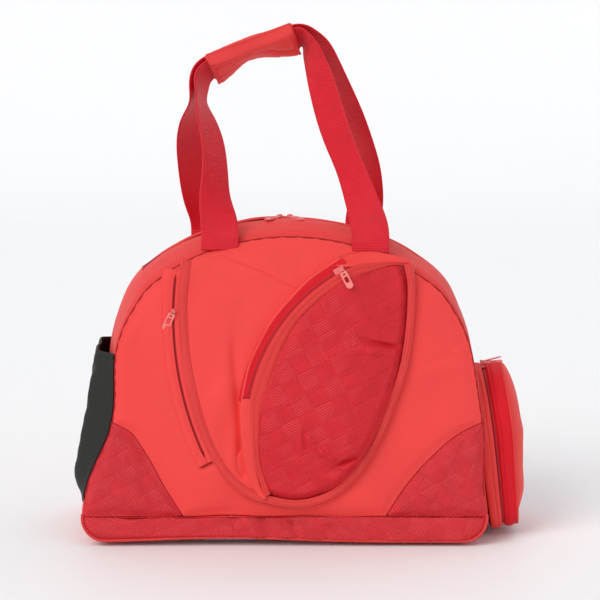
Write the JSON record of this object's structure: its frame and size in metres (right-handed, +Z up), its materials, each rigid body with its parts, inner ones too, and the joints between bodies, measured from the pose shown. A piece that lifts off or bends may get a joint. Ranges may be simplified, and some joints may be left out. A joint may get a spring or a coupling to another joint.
{
  "type": "sports holdall bag",
  "caption": "Soft arched holdall with a zipped crown, a leaf-shaped pocket over a U-shaped one, a zipped end pocket and two webbing handles in a grip wrap.",
  "frame": {"origin": "on the floor, under the middle of the body's base", "axes": "+X along the bag to its right end, +Y to the rear panel, +Z up to the handles"},
  "size_m": [0.4984, 0.2139, 0.5566],
  "materials": {
    "coral": "woven ripstop, slightly padded",
    "leaf_crimson": "woven, satin",
    "quilt_red": "quilted basket weave",
    "piping": "folded woven strip",
    "webbing": "ribbed woven webbing",
    "zip_tape": "fine woven tape",
    "zip_coil": "satin",
    "slider": "satin enamel",
    "pull": "matte",
    "stretch_black": "fine stretch knit",
    "lining": "smooth woven",
    "board": "matte",
    "fastener": "short pile"
  },
  "bodies": {
    "bag": {"base_tub": "coral", "base_board": "board", "base_piping_front": "piping", "base_piping_rear": "piping", "front_panel": "coral", "rear_panel": "coral", "front_base_band": "quilt_red", "rear_base_band": "quilt_red", "corner_patch_front_left": "quilt_red", "corner_patch_front_right": "quilt_red", "corner_patch_rear_left": "quilt_red", "corner_patch_rear_right": "quilt_red", "left_end_panel": "coral", "right_end_panel": "coral", "top_gusset_front": "coral", "top_gusset_rear": "coral", "lining": "lining", "main_zip_tape_front": "zip_tape", "main_zip_tape_rear": "zip_tape", "main_zip_coil": "zip_coil", "main_zip_stops": "zip_coil", "petal_pocket_panel": "coral", "petal_binding": "coral", "petal_zip_tape": "zip_tape", "petal_zip_coil": "zip_coil", "leaf_pocket_panel": "leaf_crimson", "leaf_pocket_gusset": "coral", "leaf_zip_tape": "zip_tape", "leaf_zip_coil": "zip_coil", "end_pocket_band": "coral", "end_pocket_wall": "coral", "end_pocket_face": "coral", "end_zip_tape": "zip_tape", "end_zip_coil": "zip_coil", "bottle_pocket_face": "stretch_black", "bottle_pocket_side_front": "stretch_black", "bottle_pocket_side_rear": "stretch_black", "bottle_pocket_hem": "stretch_black", "handle_anchor_front": "webbing", "handle_anchor_rear": "webbing"},
    "main_slider_left": {"main_slider_left": "slider"},
    "main_slider_right": {"main_slider_right": "slider"},
    "main_pull_left": {"main_pull_left": "pull"},
    "main_pull_right": {"main_pull_right": "pull"},
    "petal_slider": {"petal_slider": "slider"},
    "petal_pull": {"petal_pull": "pull"},
    "leaf_slider": {"leaf_slider": "slider"},
    "leaf_pull": {"leaf_pull": "pull"},
    "end_slider_front": {"end_slider_front": "slider"},
    "end_slider_rear": {"end_slider_rear": "slider"},
    "end_pull_front": {"end_pull_front": "pull"},
    "end_pull_rear": {"end_pull_rear": "pull"},
    "front_handle": {"handle_front_webbing": "webbing"},
    "rear_handle": {"handle_rear_webbing": "webbing", "grip_wrap": "coral", "grip_loop_strip": "fastener"},
    "grip_flap": {"grip_flap": "coral", "grip_hook_strip": "fastener"}
  },
  "joints": [
    {"name": "main_slider_left_travel", "type": "hinge", "parent": "bag", "child": "main_slider_left", "pos_m": [0, 0, 0.073], "axis": [0, -1, 0], "range_deg": [0, 32]},
    {"name": "main_slider_right_travel", "type": "hinge", "parent": "bag", "child": "main_slider_right", "pos_m": [0, 0, 0.073], "axis": [0, 1, 0], "range_deg": [0, 32]},
    {"name": "main_pull_left_swing", "type": "hinge", "parent": "main_slider_left", "child": "main_pull_left", "pos_m": [-0.00551, 0, 0.34457], "axis": [-0.8655, 0.5, -0.0287], "range_deg": [0, 150]},
    {"name": "main_pull_right_swing", "type": "hinge", "parent": "main_slider_right", "child": "main_pull_right", "pos_m": [0.00551, 0, 0.34457], "axis": [-0.8655, -0.5, 0.0287], "range_deg": [0, 150]},
    {"name": "petal_slider_travel", "type": "hinge", "parent": "bag", "child": "petal_slider", "pos_m": [0.24, -0.07705, 0.24612], "axis": [0, -0.9925, 0.1219], "range_deg": [0, 22.5]},
    {"name": "petal_pull_swing", "type": "hinge", "parent": "petal_slider", "child": "petal_pull", "pos_m": [-0.11798, -0.08124, 0.25135], "axis": [-0.8965, 0.054, 0.4398], "range_deg": [0, 140]},
    {"name": "leaf_slider_travel", "type": "hinge", "parent": "bag", "child": "leaf_slider", "pos_m": [0.155, -0.10347, 0.12451], "axis": [0, -0.9925, 0.1219], "range_deg": [0, 48]},
    {"name": "leaf_pull_swing", "type": "hinge", "parent": "leaf_slider", "child": "leaf_pull", "pos_m": [0.06068, -0.08722, 0.29621], "axis": [-0.891, -0.0553, -0.4506], "range_deg": [0, 140]},
    {"name": "end_slider_front_travel", "type": "hinge", "parent": "bag", "child": "end_slider_front", "pos_m": [0.2269, 0, 0.11762], "axis": [0.9895, 0, 0.1444], "range_deg": [0, 78]},
    {"name": "end_slider_rear_travel", "type": "hinge", "parent": "bag", "child": "end_slider_rear", "pos_m": [0.2269, 0, 0.11762], "axis": [-0.9895, 0, -0.1444], "range_deg": [0, 78]},
    {"name": "end_pull_front_swing", "type": "hinge", "parent": "end_slider_front", "child": "end_pull_front", "pos_m": [0.21741, -0.00432, 0.18266], "axis": [0.0156, -0.9942, -0.1069], "range_deg": [0, 140]},
    {"name": "end_pull_rear_swing", "type": "hinge", "parent": "end_slider_rear", "child": "end_pull_rear", "pos_m": [0.21741, 0.00432, 0.18266], "axis": [-0.0156, -0.9942, 0.1069], "range_deg": [0, 126]},
    {"name": "front_handle_swing", "type": "hinge", "parent": "bag", "child": "front_handle", "pos_m": [0.0115, -0.0615, 0.325], "axis": [0.9997, 0, -0.0248], "range_deg": [0, 110], "deforming": ["grip_wrap", "grip_flap", "grip_hook_strip", "grip_loop_strip"]},
    {"name": "rear_handle_swing", "type": "hinge", "parent": "bag", "child": "rear_handle", "pos_m": [0.0005, 0.0615, 0.3245], "axis": [-1, 0, 0], "range_deg": [0, 110], "deforming": ["grip_wrap", "grip_flap", "grip_hook_strip", "grip_loop_strip"]},
    {"name": "grip_flap_hinge", "type": "hinge", "parent": "rear_handle", "child": "grip_flap", "pos_m": [-0.03698, -0.02569, 0.53032], "axis": [-0.9368, 0, -0.35], "range_deg": [0, 150]}
  ]
}
